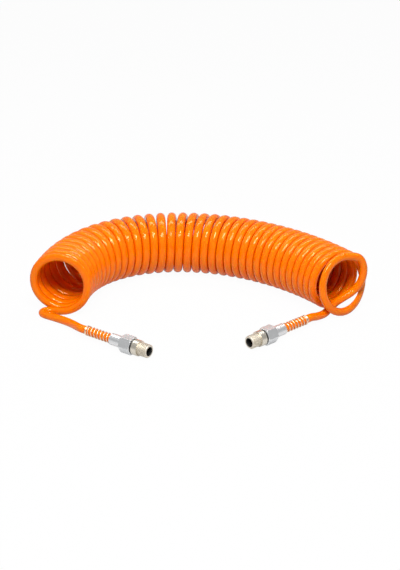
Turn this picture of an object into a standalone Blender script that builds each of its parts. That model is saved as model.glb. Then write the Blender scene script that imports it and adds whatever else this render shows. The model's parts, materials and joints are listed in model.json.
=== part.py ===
"""Coiled air hose: a wound polyurethane hose with a spring-guarded swivel fitting at each end.

Metres, +Z up. The hose lies on the floor in an arch, with both open coil mouths and both
fittings towards -Y. The origin is the middle of the footprint, on the floor.
"""
import math

import bmesh
import bpy
import numpy as np
from mathutils import Matrix, Vector

# Hose
HOSE_OD = 0.008
HOSE_TIGHT_TURN_SIDES = 6
TAIL_SIDES = 10

# Coil
COIL_OD = 0.065
TURNS = 37
POINTS_PER_TURN = 10
TURN_GAP = 0.00045
MIDDLE_OPENING = 0.0003
# The last turn on the right swings out at its foot, this far, this many turns before the end
LAST_TURN_SWING = 0.013
LAST_TURN_FOOT = 0.5
LAST_TURN_SPREAD = 0.5
# Heading of the coil's own axis from end to end, in degrees, as powers of u from -1 to 1
HEADING = (5.2, 77.7, -37.6, 4.1, 21.6, -12.4)

# Clearance between pieces that touch or turn on each other
CLEARANCE = 0.0003

# Spring guard
WIRE_D = 0.001
SPRING_LENGTH = 0.031
SPRING_CLOSED_TURNS = 2
SPRING_OPEN_TURNS = 7
SPRING_POINTS_PER_TURN = 10
WIRE_SIDES = 6

# Clamp nut
NUT_ACROSS_FLATS = 0.016
NUT_LENGTH = 0.013
NUT_CHAMFER = 0.0007
SLEEVE_OD = 0.0114
SLEEVE_LENGTH = 0.0142
CLAMP_THREAD_D = 0.0130
CLAMP_THREAD_LENGTH = 0.0078
HOSE_GRIP = 0.008

# Barbed swivel stem
BARB_D = 0.0054
BARB_ROOT_D = 0.0047
BARB_LENGTH = 0.012
BARB_RIDGES = 3
FLOW_BORE_D = 0.0035
JOURNAL_D = 0.0074
JOURNAL_LENGTH = 0.013

# Swivel seals and retainer
WASHER_THICKNESS = 0.0008
WASHER_OD = 0.0144
SNAP_RING_WIDTH = 0.001
SNAP_RING_DEPTH = 0.0013
SNAP_RING_AT = 0.0028
O_RING_D = 0.0008
O_RING_AT = 0.0070

# Swivel nipple with a quarter-inch pipe thread
COLLAR_OD = 0.0154
COLLAR_LENGTH = 0.0065
COLLAR_CHAMFER = 0.0006
THREAD_D = 0.013157
THREAD_LENGTH = 0.0107
THREAD_RELIEF = 0.0012
THREAD_RELIEF_DEPTH = 0.0009
TIP_CHAMFER = 0.0008

# Roundness of the turned pieces
ROUND_SIDES = 24

# Where each fitting lies, from the coil's end on its own side: plan offset of the back of the
# hexagon, and the way the fitting points, in degrees from +X
FITTING_LEFT_OFFSET = (0.0770, -0.0807)
FITTING_LEFT_HEADING = -36.2
FITTING_RIGHT_OFFSET = (-0.0803, -0.0695)
FITTING_RIGHT_HEADING = -138.5

# Route of each tail: plan offset from the coil's end and rise of the hose above the floor
LEFT_ROUTE = (
    (-0.0038, -0.0005, 0.0),
    (-0.0071, -0.0022, 0.0),
    (-0.0084, -0.0054, 0.0),
    (-0.0064, -0.0088, 0.0),
    (-0.0010, -0.0129, 0.0001),
    (0.0080, -0.0192, 0.0003),
    (0.0162, -0.0258, 0.0007),
    (0.0240, -0.0340, 0.0014),
)
# The right tail first turns in through its own mouth: place across the coil and height, in
# shares of the coil's radius, and place along the coil's axis in hose diameters
RIGHT_TUCK = (
    (0.590, 0.868, 0.18),
    (0.800, 0.560, 0.40),
    (0.800, 0.190, 0.52),
    (0.690, -0.165, 0.38),
    (0.455, -0.440, 0.08),
    (0.145, -0.620, -0.20),
    (-0.180, -0.745, -0.26),
    (-0.505, -0.885, -0.05),
    (-0.800, -0.970, 0.32),
)
RIGHT_ROUTE = (
    (-0.0334, -0.0272, 0.0019),
)

# Colours
ORANGE = (1.0, 0.22, 0.005)
NICKEL = (0.72, 0.68, 0.61)
SATIN_GREY = (0.62, 0.63, 0.64)
STEEL = (0.78, 0.76, 0.72)
BLACK = (0.02, 0.02, 0.02)

# Sizes worked out from those above
HOSE_R = HOSE_OD / 2
STEP_ANGLE = 2 * math.pi / POINTS_PER_TURN
HEX_FLAT = math.cos(math.pi / HOSE_TIGHT_TURN_SIDES)
FLOOR_CUT = HOSE_OD / 10
COIL_AXIS_HEIGHT = COIL_OD / 2 - FLOOR_CUT
WINDING_R = COIL_AXIS_HEIGHT / math.cos(STEP_ANGLE / 2) - HOSE_R * HEX_FLAT
FITTING_HEIGHT = NUT_ACROSS_FLATS / 2
SPRING_R = (HOSE_R + CLEARANCE + WIRE_D / 2) / math.cos(math.pi / SPRING_POINTS_PER_TURN)
BORE_R = BARB_D / 2 + CLEARANCE
NIPPLE_BORE_R = JOURNAL_D / 2 + CLEARANCE
STEM_BODY_R = CLAMP_THREAD_D / 2 - CLEARANCE
SLEEVE_BACK = -SLEEVE_LENGTH
SPRING_BACK = SLEEVE_BACK - CLEARANCE - SPRING_LENGTH
WASHER_BACK = NUT_LENGTH + CLEARANCE
COLLAR_BACK = WASHER_BACK + WASHER_THICKNESS + CLEARANCE
COLLAR_FRONT = COLLAR_BACK + COLLAR_LENGTH
THREAD_TIP = COLLAR_FRONT + THREAD_LENGTH


def clear_scene():
    for item in list(bpy.data.objects):
        bpy.data.objects.remove(item, do_unlink=True)


def material(name, colour, roughness, metallic):
    made = bpy.data.materials.get(name) or bpy.data.materials.new(name)
    made.use_nodes = True
    shader = made.node_tree.nodes["Principled BSDF"]
    shader.inputs["Base Color"].default_value = (*colour, 1.0)
    shader.inputs["Roughness"].default_value = roughness
    shader.inputs["Metallic"].default_value = metallic
    made.diffuse_color = (*colour, 1.0)
    return made


def add_object(name, bm, surface, parent):
    bmesh.ops.recalc_face_normals(bm, faces=bm.faces)
    mesh = bpy.data.meshes.new(name)
    bm.to_mesh(mesh)
    bm.free()
    mesh.polygons.foreach_set("use_smooth", [True] * len(mesh.polygons))
    mesh.materials.append(surface)
    made = bpy.data.objects.new(name, mesh)
    bpy.context.scene.collection.objects.link(made)
    made.parent = parent
    return made


def add_empty(name, parent=None):
    made = bpy.data.objects.new(name, None)
    bpy.context.scene.collection.objects.link(made)
    made.parent = parent
    return made


def bridge(bm, rings):
    """Joins each ring of vertices to the next with four-sided faces."""
    for first, second in zip(rings, rings[1:]):
        count = len(first)
        for i in range(count):
            j = (i + 1) % count
            bm.faces.new((first[i], first[j], second[j], second[i]))


def ring_of(bm, centre, across, up, radius, sides):
    made = []
    for i in range(sides):
        angle = 2 * math.pi * i / sides
        place = centre + radius * (math.cos(angle) * across + math.sin(angle) * up)
        made.append(bm.verts.new(place))
    return made


def turned(name, stations, surface, parent):
    """A closed solid about local X. A station is (x, radius) or (x, radius, across flats)."""
    bm = bmesh.new()
    rings = []
    for station in stations:
        x, radius = station[:2]
        ring = []
        for i in range(ROUND_SIDES):
            angle = 2 * math.pi * i / ROUND_SIDES
            reach = radius
            if len(station) == 3:
                from_flat = (angle + math.pi / 6) % (math.pi / 3) - math.pi / 6
                from_flat = math.pi / 6 - abs(from_flat)
                reach = min(radius, station[2] / 2 / math.cos(from_flat))
            ring.append(bm.verts.new((x, reach * math.cos(angle), reach * math.sin(angle))))
        rings.append(ring)
    bridge(bm, rings + rings[:1])
    return add_object(name, bm, surface, parent)


def smooth_route(points, steps):
    """Points on a smooth curve through the given points, the given number for each stretch."""
    ends = [2 * points[0] - points[1], *points, 2 * points[-1] - points[-2]]
    made = []
    for before, first, second, after in zip(ends, ends[1:], ends[2:], ends[3:]):
        for i in range(steps):
            t = i / steps
            made.append(0.5 * (2 * first + (second - before) * t
                               + (2 * before - 5 * first + 4 * second - after) * t * t
                               + (3 * first - before - 3 * second + after) * t * t * t))
    made.append(points[-1].copy())
    return made


def swept_tube(name, points, radius, sides, surface, parent, bore=None):
    """A tube along the points. bore is (radius, depth) of a blind hole in its far end."""
    bm = bmesh.new()
    count = len(points)
    rings = []
    tangent = (points[1] - points[0]).normalized()
    across = tangent.cross(Vector((0, 0, 1)))
    if across.length < 0.1:
        across = tangent.cross(Vector((1, 0, 0)))
    across.normalize()
    for i, point in enumerate(points):
        ahead = (points[min(i + 1, count - 1)] - points[max(i - 1, 0)]).normalized()
        across = tangent.rotation_difference(ahead) @ across
        tangent = ahead
        rings.append(ring_of(bm, point, across, tangent.cross(across), radius, sides))
    bm.faces.new(rings[0])
    if bore:
        up = tangent.cross(across)
        rings.append(ring_of(bm, points[-1], across, up, bore[0], sides))
        rings.append(ring_of(bm, points[-1] - tangent * bore[1], across, up, bore[0], sides))
    bridge(bm, rings)
    bm.faces.new(rings[-1])
    return add_object(name, bm, surface, parent)


def length_of(points):
    return sum((b - a).length for a, b in zip(points, points[1:]))


def least_gap(points, diameter, skip):
    """Smallest gap of a tube to itself, from finely spaced points on its middle line."""
    corners = np.array([tuple(p) for p in points])
    shares = np.linspace(0, 1, 6, endpoint=False)[:, None, None]
    fine = (corners[:-1] + (corners[1:] - corners[:-1]) * shares).transpose(1, 0, 2).reshape(-1, 3)
    least = math.inf
    for i in range(len(fine) - skip * 6):
        away = np.linalg.norm(fine[i + skip * 6:] - fine[i], axis=1).min()
        least = min(least, away)
    return least - diameter


def turn_advance(turn, last):
    """How far the coil's inner side moves on for each turn of winding."""
    middle = np.cos(math.pi * (turn / last - 0.5)) ** 2
    return HOSE_OD + TURN_GAP + MIDDLE_OPENING * middle


def last_turn_swing(turn, last):
    """How far the winding stands out along its axis near the right end."""
    from_foot = (turn - last + LAST_TURN_FOOT) / LAST_TURN_SPREAD
    if abs(from_foot) > 1:
        return 0.0
    return LAST_TURN_SWING * (1 + math.cos(math.pi * from_foot)) / 2


def coil_axis(length):
    """Plan points, headings and distances along the coil's own axis."""
    u = np.linspace(-1, 1, 4001)
    heading = np.radians(sum(power * u ** i for i, power in enumerate(HEADING)))
    step = length / (len(u) - 1)
    along_x = np.cos(heading)
    along_y = -np.sin(heading)
    x = np.concatenate(([0], np.cumsum((along_x[1:] + along_x[:-1]) / 2 * step)))
    y = np.concatenate(([0], np.cumsum((along_y[1:] + along_y[:-1]) / 2 * step)))
    return x, y, heading, (u + 1) / 2 * length


def wind_coil():
    """Corner points of the winding with their outward and axial directions, left to right."""
    first = -math.pi / 2 + STEP_ANGLE / 2
    steps = (TURNS - 1) * POINTS_PER_TURN + POINTS_PER_TURN // 2 + 1
    turns = np.arange(steps + 1) / POINTS_PER_TURN
    fine = np.linspace(0, turns[-1], 20001)
    advance = turn_advance(fine, turns[-1])
    travel = np.concatenate(([0], np.cumsum((advance[1:] + advance[:-1]) / 2 * (fine[1] - fine[0]))))
    sweep = math.radians(2 * sum(HEADING[1::2]))
    x, y, heading, along = coil_axis(travel[-1] + WINDING_R * sweep)
    inner = along - WINDING_R * (heading - heading[0])
    reached = np.interp(np.interp(turns, fine, travel), inner, along)
    points = []
    for i, distance in enumerate(reached):
        angle = first - i * STEP_ANGLE
        turn = np.interp(distance, along, heading)
        outer = Vector((math.sin(turn), math.cos(turn), 0))
        axial = Vector((math.cos(turn), -math.sin(turn), 0))
        spine = Vector((np.interp(distance, along, x), np.interp(distance, along, y), COIL_AXIS_HEIGHT))
        spine += axial * last_turn_swing(turns[i], turns[-1])
        radial = math.cos(angle) * outer + math.sin(angle) * Vector((0, 0, 1))
        points.append((spine + WINDING_R * radial, radial, axial, outer, spine))
    points[0] = squared_end(points[0], points[1])
    points[-1] = squared_end(points[-1], points[-2])
    return points


def squared_end(end, neighbour):
    """The end of the winding with its face square to its last straight run."""
    run = (end[0] - neighbour[0]).normalized()
    radial = end[1] - run * end[1].dot(run)
    axial = end[2] - run * end[2].dot(run)
    return (end[0], radial, axial, *end[3:])


def build_coil(winding, surface, parent):
    bm = bmesh.new()
    rings = []
    for point, radial, axial, _, _ in winding:
        rings.append(ring_of(bm, point, axial, radial, HOSE_R, HOSE_TIGHT_TURN_SIDES))
    bm.faces.new(rings[0])
    bridge(bm, rings)
    bm.faces.new(rings[-1])
    return add_object("hose_coil", bm, surface, parent)


def fitting_frame(name, end, offset, heading, parent):
    made = add_empty(name, parent)
    made.location = (end.x + offset[0], end.y + offset[1], FITTING_HEIGHT)
    made.rotation_euler = (0, 0, math.radians(heading))
    return made


def on_axis(frame, x):
    """A point on a fitting's axis, x in front of the back of its hexagon."""
    turn = frame.rotation_euler.z
    return frame.location + Vector((math.cos(turn), math.sin(turn), 0)) * x


def fitting_run(frame):
    """Straight stretch of hose through the spring guard and sleeve to the stem's shoulder."""
    stations = (SPRING_BACK - HOSE_OD, SPRING_BACK - CLEARANCE, SLEEVE_BACK, 0, HOSE_GRIP)
    return [on_axis(frame, x) for x in stations]


def floor_points(end, route):
    return [Vector((end.x + x, end.y + y, HOSE_R + rise)) for x, y, rise in route]


def build_spring(side, frame, surface):
    pitch_closed = WIRE_D + TURN_GAP
    opened = SPRING_LENGTH - WIRE_D * 2 - pitch_closed * SPRING_CLOSED_TURNS
    pitch_open = opened / SPRING_OPEN_TURNS
    points = []
    for i in range((SPRING_CLOSED_TURNS + SPRING_OPEN_TURNS) * SPRING_POINTS_PER_TURN + 1):
        turn = i / SPRING_POINTS_PER_TURN
        x = SPRING_BACK + WIRE_D / 2 + pitch_closed * min(turn, SPRING_CLOSED_TURNS)
        x += pitch_open * max(turn - SPRING_CLOSED_TURNS, 0)
        angle = 2 * math.pi * turn
        points.append(Vector((x, SPRING_R * math.cos(angle), SPRING_R * math.sin(angle))))
    points.append(Vector((SLEEVE_BACK - CLEARANCE, SPRING_R, 0)))
    gap = least_gap(points, WIRE_D, SPRING_POINTS_PER_TURN // 2)
    print(f"spring_guard_{side}: least gap between its curls {gap * 1000:.2f} mm")
    swept_tube(f"spring_guard_{side}", points, WIRE_D / 2, WIRE_SIDES, surface, frame)


def build_nut(side, frame, surface):
    corner = NUT_ACROSS_FLATS / math.sqrt(3)
    hose_way = HOSE_R + CLEARANCE
    thread_r = CLAMP_THREAD_D / 2
    thread_back = NUT_LENGTH - CLAMP_THREAD_LENGTH
    cone_back = thread_back - (thread_r - hose_way) / 2
    turned(f"clamp_nut_{side}", (
        (SLEEVE_BACK, SLEEVE_OD / 2),
        (0, SLEEVE_OD / 2),
        (0, corner - 2 * NUT_CHAMFER, NUT_ACROSS_FLATS),
        (NUT_CHAMFER, corner, NUT_ACROSS_FLATS),
        (NUT_LENGTH - NUT_CHAMFER, corner, NUT_ACROSS_FLATS),
        (NUT_LENGTH, corner - 2 * NUT_CHAMFER, NUT_ACROSS_FLATS),
        (NUT_LENGTH, thread_r),
        (thread_back, thread_r),
        (cone_back, hose_way),
        (SLEEVE_BACK, hose_way),
    ), surface, frame)


def build_stem(side, frame, surface):
    barb_back = HOSE_GRIP - BARB_LENGTH
    ridge = BARB_LENGTH / BARB_RIDGES
    ridges = []
    for i in range(BARB_RIDGES):
        start = barb_back + ridge * i
        ridges.append((start, BARB_ROOT_D / 2))
        ridges.append((start + ridge * 0.8, BARB_D / 2))
    journal = JOURNAL_D / 2
    snap_from, snap_to = snap_groove()
    seal_from, seal_to = seal_groove()
    snap_root = journal + CLEARANCE / 2 - SNAP_RING_DEPTH / 2 - CLEARANCE
    seal_root = NIPPLE_BORE_R - CLEARANCE - O_RING_D - CLEARANCE
    tip = NUT_LENGTH + JOURNAL_LENGTH
    turned(f"swivel_stem_{side}", (
        *ridges,
        (HOSE_GRIP, BARB_ROOT_D / 2),
        (HOSE_GRIP + CLEARANCE, BARB_ROOT_D / 2),
        (HOSE_GRIP + CLEARANCE, STEM_BODY_R),
        (NUT_LENGTH, STEM_BODY_R),
        (NUT_LENGTH, journal),
        (snap_from, journal),
        (snap_from, snap_root),
        (snap_to, snap_root),
        (snap_to, journal),
        (seal_from, journal),
        (seal_from, seal_root),
        (seal_to, seal_root),
        (seal_to, journal),
        (tip, journal),
        (tip, FLOW_BORE_D / 2),
        (barb_back, FLOW_BORE_D / 2),
    ), surface, frame)


def snap_groove():
    middle = COLLAR_BACK + SNAP_RING_AT
    half = SNAP_RING_WIDTH / 2 + CLEARANCE
    return middle - half, middle + half


def seal_groove():
    middle = COLLAR_BACK + O_RING_AT
    half = O_RING_D / 2 + CLEARANCE
    return middle - half, middle + half


def build_seals(side, frame, rubber, steel, plastic):
    washer_front = WASHER_BACK + WASHER_THICKNESS
    turned(f"thrust_washer_{side}", (
        (WASHER_BACK, NIPPLE_BORE_R),
        (WASHER_BACK, WASHER_OD / 2),
        (washer_front, WASHER_OD / 2),
        (washer_front, NIPPLE_BORE_R),
    ), plastic, frame)
    snap_from, snap_to = snap_groove()
    middle_r = JOURNAL_D / 2 + CLEARANCE / 2
    turned(f"snap_ring_{side}", (
        (snap_from + CLEARANCE, middle_r - SNAP_RING_DEPTH / 2),
        (snap_from + CLEARANCE, middle_r + SNAP_RING_DEPTH / 2),
        (snap_to - CLEARANCE, middle_r + SNAP_RING_DEPTH / 2),
        (snap_to - CLEARANCE, middle_r - SNAP_RING_DEPTH / 2),
    ), steel, frame)
    seal_from, seal_to = seal_groove()
    centre_x = (seal_from + seal_to) / 2
    centre_r = NIPPLE_BORE_R - CLEARANCE - O_RING_D / 2
    section = []
    for i in range(8):
        angle = 2 * math.pi * i / 8
        section.append((centre_x - math.cos(angle) * O_RING_D / 2,
                        centre_r + math.sin(angle) * O_RING_D / 2))
    turned(f"o_ring_{side}", section, rubber, frame)


def build_nipple(side, frame, surface):
    collar = COLLAR_OD / 2
    thread = THREAD_D / 2
    snap_from, snap_to = snap_groove()
    groove = JOURNAL_D / 2 + CLEARANCE / 2 + SNAP_RING_DEPTH / 2 + CLEARANCE
    turned(f"swivel_nipple_{side}", (
        (COLLAR_BACK, collar - COLLAR_CHAMFER),
        (COLLAR_BACK + COLLAR_CHAMFER, collar),
        (COLLAR_FRONT - COLLAR_CHAMFER, collar),
        (COLLAR_FRONT, collar - COLLAR_CHAMFER),
        (COLLAR_FRONT, thread - THREAD_RELIEF_DEPTH),
        (COLLAR_FRONT + THREAD_RELIEF, thread - THREAD_RELIEF_DEPTH),
        (COLLAR_FRONT + THREAD_RELIEF + THREAD_RELIEF_DEPTH, thread),
        (THREAD_TIP - TIP_CHAMFER, thread),
        (THREAD_TIP, thread - TIP_CHAMFER),
        (THREAD_TIP, NIPPLE_BORE_R),
        (snap_to, NIPPLE_BORE_R),
        (snap_to, groove),
        (snap_from, groove),
        (snap_from, NIPPLE_BORE_R),
        (COLLAR_BACK, NIPPLE_BORE_R),
    ), surface, frame)


def build_tail(side, points, surface, parent):
    bore = (BORE_R, BARB_LENGTH + CLEARANCE)
    swept_tube(f"hose_tail_{side}", points, HOSE_R, TAIL_SIDES, surface, parent, bore)
    gap = least_gap(points, HOSE_OD, 8)
    print(f"hose_tail_{side}: {length_of(points):.3f} m, least gap to itself {gap * 1000:.2f} mm")


def tail_route(first, chosen, frame):
    """Smooth curve from the coil's straight end into the fitting's straight run."""
    run = fitting_run(frame)
    return smooth_route([first, *chosen, *run[:3]], 2)[:-3] + run[1:]


def left_tail_points(winding, frame):
    end, toward = winding[0][0], (winding[0][0] - winding[1][0]).normalized()
    begin = end + toward * CLEARANCE
    begin.z = HOSE_R
    return [begin, *tail_route(begin + toward * HOSE_R / 2, floor_points(end, LEFT_ROUTE), frame)]


def right_tail_points(winding, frame):
    end, _, axial, outer, spine = winding[-1]
    toward = (end - winding[-2][0]).normalized()
    begin = end + toward * CLEARANCE
    tuck = []
    for across, height, along in RIGHT_TUCK:
        reach = COIL_AXIS_HEIGHT - HOSE_R
        tuck.append(spine + outer * across * reach + axial * along * HOSE_OD
                    + Vector((0, 0, height * reach)))
    return [begin, *tail_route(begin + toward * HOSE_R / 2, tuck + floor_points(end, RIGHT_ROUTE), frame)]


def build_end(side, frame, surfaces):
    build_spring(side, frame, surfaces["wire"])
    build_nut(side, frame, surfaces["nut"])
    build_stem(side, frame, surfaces["stem"])
    build_seals(side, frame, surfaces["rubber"], surfaces["steel"], surfaces["plastic"])
    build_nipple(side, frame, surfaces["nipple"])


def centre_on_floor(root):
    """Moves the whole hose so that the middle of its footprint is the origin."""
    bpy.context.view_layer.update()
    corners = []
    for item in bpy.data.objects:
        if item.type == "MESH":
            corners += [item.matrix_world @ v.co for v in item.data.vertices]
    middle_x = (min(c.x for c in corners) + max(c.x for c in corners)) / 2
    middle_y = (min(c.y for c in corners) + max(c.y for c in corners)) / 2
    root.location = (-middle_x, -middle_y, 0)
    bpy.context.view_layer.update()
    return root.location


def main():
    clear_scene()
    surfaces = {
        "hose": material("orange_hose", ORANGE, 0.22, 0.0),
        "wire": material("spring_wire", STEEL, 0.25, 1.0),
        "nut": material("satin_nut", SATIN_GREY, 0.42, 0.9),
        "stem": material("nickel_stem", NICKEL, 0.25, 1.0),
        "nipple": material("nickel_nipple", NICKEL, 0.25, 1.0),
        "rubber": material("black_rubber", BLACK, 0.6, 0.0),
        "steel": material("ring_steel", STEEL, 0.35, 1.0),
        "plastic": material("black_plastic", BLACK, 0.45, 0.0),
    }
    root = add_empty("air_hose")
    winding = wind_coil()
    build_coil(winding, surfaces["hose"], root)
    coil_points = [place[0] for place in winding]
    gap = least_gap(coil_points, HOSE_OD, POINTS_PER_TURN // 2)
    print(f"hose_coil: {length_of(coil_points):.3f} m, least gap between its turns {gap * 1000:.2f} mm")
    left = fitting_frame("fitting_left", winding[0][0], FITTING_LEFT_OFFSET, FITTING_LEFT_HEADING, root)
    right = fitting_frame("fitting_right", winding[-1][0], FITTING_RIGHT_OFFSET, FITTING_RIGHT_HEADING, root)
    build_tail("left", left_tail_points(winding, left), surfaces["hose"], root)
    build_tail("right", right_tail_points(winding, right), surfaces["hose"], root)
    build_end("left", left, surfaces)
    build_end("right", right, surfaces)
    place = centre_on_floor(root)
    print(f"moved by {place.x:.5f}, {place.y:.5f}")


main()
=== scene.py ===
"""Coiled air hose: finished surfaces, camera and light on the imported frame.

Metres, in the frame of the solids: +X to the right, +Y away from the camera, +Z up.
"""
import json
import math

import bmesh
import bpy
import numpy as np
from mathutils import Matrix, Vector
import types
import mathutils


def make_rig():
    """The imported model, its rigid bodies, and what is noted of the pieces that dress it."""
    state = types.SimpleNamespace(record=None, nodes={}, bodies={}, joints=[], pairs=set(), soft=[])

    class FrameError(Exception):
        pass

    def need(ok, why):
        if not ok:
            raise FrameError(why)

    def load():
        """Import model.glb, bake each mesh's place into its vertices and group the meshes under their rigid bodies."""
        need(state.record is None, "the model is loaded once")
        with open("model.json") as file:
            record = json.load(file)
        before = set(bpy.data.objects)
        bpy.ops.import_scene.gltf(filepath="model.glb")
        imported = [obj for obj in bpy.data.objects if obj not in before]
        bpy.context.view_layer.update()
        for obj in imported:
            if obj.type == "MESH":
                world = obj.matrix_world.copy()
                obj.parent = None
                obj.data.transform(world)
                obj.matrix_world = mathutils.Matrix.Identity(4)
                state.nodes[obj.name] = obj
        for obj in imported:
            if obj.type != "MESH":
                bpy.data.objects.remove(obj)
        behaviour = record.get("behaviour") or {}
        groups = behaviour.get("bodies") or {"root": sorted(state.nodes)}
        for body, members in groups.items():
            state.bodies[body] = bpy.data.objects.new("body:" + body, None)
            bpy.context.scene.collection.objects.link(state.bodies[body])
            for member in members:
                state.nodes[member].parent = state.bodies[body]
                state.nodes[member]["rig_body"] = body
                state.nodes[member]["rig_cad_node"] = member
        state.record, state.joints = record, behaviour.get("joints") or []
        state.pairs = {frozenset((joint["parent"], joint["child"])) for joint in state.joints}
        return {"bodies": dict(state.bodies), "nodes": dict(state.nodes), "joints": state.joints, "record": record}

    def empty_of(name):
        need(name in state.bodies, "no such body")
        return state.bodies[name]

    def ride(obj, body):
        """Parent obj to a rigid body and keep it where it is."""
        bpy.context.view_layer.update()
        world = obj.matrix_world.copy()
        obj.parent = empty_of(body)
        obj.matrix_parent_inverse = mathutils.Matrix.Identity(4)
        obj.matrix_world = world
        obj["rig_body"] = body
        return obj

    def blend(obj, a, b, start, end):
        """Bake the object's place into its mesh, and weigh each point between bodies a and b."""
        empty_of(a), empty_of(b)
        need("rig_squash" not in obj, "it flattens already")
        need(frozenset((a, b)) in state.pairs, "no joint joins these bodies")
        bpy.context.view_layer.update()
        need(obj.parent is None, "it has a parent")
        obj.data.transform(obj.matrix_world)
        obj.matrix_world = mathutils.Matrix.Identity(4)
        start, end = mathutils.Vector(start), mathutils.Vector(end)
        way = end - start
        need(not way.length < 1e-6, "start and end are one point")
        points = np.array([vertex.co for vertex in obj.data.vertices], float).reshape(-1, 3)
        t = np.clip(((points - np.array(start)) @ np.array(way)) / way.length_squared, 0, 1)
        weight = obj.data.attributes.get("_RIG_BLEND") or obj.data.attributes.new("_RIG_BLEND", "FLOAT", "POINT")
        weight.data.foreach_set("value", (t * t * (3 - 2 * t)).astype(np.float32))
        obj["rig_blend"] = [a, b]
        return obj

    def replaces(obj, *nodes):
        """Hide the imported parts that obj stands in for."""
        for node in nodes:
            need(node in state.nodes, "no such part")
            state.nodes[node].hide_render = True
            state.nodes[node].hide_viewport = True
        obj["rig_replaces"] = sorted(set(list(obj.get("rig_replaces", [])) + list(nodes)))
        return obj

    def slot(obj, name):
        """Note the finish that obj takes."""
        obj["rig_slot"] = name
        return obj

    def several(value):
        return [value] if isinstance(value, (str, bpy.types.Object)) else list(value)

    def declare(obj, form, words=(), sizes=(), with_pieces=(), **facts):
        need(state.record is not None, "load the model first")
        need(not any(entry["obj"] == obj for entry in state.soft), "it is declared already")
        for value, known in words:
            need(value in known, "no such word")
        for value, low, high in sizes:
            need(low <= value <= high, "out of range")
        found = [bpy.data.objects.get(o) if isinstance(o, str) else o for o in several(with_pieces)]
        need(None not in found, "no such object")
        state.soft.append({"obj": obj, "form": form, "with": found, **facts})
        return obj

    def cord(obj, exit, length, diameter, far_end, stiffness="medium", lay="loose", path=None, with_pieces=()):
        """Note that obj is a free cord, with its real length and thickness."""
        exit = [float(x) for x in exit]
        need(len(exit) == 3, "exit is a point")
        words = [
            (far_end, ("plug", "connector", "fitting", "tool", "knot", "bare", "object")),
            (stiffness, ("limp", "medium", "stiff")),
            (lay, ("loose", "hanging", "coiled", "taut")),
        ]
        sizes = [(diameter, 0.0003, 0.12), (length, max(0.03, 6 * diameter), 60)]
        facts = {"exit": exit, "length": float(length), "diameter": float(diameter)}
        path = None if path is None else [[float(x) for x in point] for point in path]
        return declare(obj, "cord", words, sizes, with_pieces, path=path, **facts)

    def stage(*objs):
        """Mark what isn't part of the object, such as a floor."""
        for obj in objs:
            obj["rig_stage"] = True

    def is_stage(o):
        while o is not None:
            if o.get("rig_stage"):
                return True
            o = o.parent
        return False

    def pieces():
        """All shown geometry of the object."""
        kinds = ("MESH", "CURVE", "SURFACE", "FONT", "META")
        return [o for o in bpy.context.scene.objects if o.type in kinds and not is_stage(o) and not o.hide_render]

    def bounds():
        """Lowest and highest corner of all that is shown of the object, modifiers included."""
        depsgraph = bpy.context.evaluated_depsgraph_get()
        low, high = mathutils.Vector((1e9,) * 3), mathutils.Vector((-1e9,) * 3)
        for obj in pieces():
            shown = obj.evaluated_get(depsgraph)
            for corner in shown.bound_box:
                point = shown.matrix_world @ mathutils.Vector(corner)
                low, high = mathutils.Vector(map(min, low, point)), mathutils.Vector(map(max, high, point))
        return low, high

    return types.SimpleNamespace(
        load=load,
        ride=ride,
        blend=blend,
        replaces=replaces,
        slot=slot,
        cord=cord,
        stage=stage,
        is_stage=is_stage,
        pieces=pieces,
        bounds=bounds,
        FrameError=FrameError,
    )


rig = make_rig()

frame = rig.load()
CAD_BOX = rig.bounds()
SIZE_FILE = "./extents.json"
SIDES = ("left", "right")

# Hose and its winding, as in the part
HOSE_OD = 0.008
COIL_OD = 0.065
TURNS = 37
TURN_GAP = 0.00045
MIDDLE_OPENING = 0.0003
LAST_TURN_SWING = 0.013
LAST_TURN_FOOT = 0.5
LAST_TURN_SPREAD = 0.5
HEADING = (5.2, 77.7, -37.6, 4.1, 21.6, -12.4)
SOLID_POINTS_PER_TURN = 10
SOLID_TUBE_SIDES = 6
FLOOR_CUT = HOSE_OD / 10

# Fittings, as in the part, along each fitting's axis from the back of its hexagon
CLEARANCE = 0.0003
SPRING_LENGTH = 0.031
SPRING_CLOSED_TURNS = 2
SPRING_OPEN_TURNS = 7
NUT_ACROSS_FLATS = 0.016
NUT_LENGTH = 0.013
NUT_CHAMFER = 0.0007
SLEEVE_OD = 0.0114
SLEEVE_LENGTH = 0.0142
HOSE_GRIP = 0.008
JOURNAL_D = 0.0074
WASHER_THICKNESS = 0.0008
WASHER_OD = 0.0144
COLLAR_OD = 0.0154
COLLAR_LENGTH = 0.0065
THREAD_D = 0.013157
THREAD_LENGTH = 0.0107
THREAD_RELIEF = 0.0012
TIP_CHAMFER = 0.0008
FITTING_LEFT_OFFSET = (0.0770, -0.0807)

# Routes of the tails, as in the part
LEFT_ROUTE = (
    (-0.0038, -0.0005, 0.0),
    (-0.0071, -0.0022, 0.0),
    (-0.0084, -0.0054, 0.0),
    (-0.0064, -0.0088, 0.0),
    (-0.0010, -0.0129, 0.0001),
    (0.0080, -0.0192, 0.0003),
    (0.0162, -0.0258, 0.0007),
    (0.0240, -0.0340, 0.0014),
)
RIGHT_TUCK = (
    (0.590, 0.868, 0.18),
    (0.800, 0.560, 0.40),
    (0.800, 0.190, 0.52),
    (0.690, -0.165, 0.38),
    (0.455, -0.440, 0.08),
    (0.145, -0.620, -0.20),
    (-0.180, -0.745, -0.26),
    (-0.505, -0.885, -0.05),
    (-0.800, -0.970, 0.32),
)
RIGHT_ROUTE = (
    (-0.0334, -0.0272, 0.0019),
)

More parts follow.
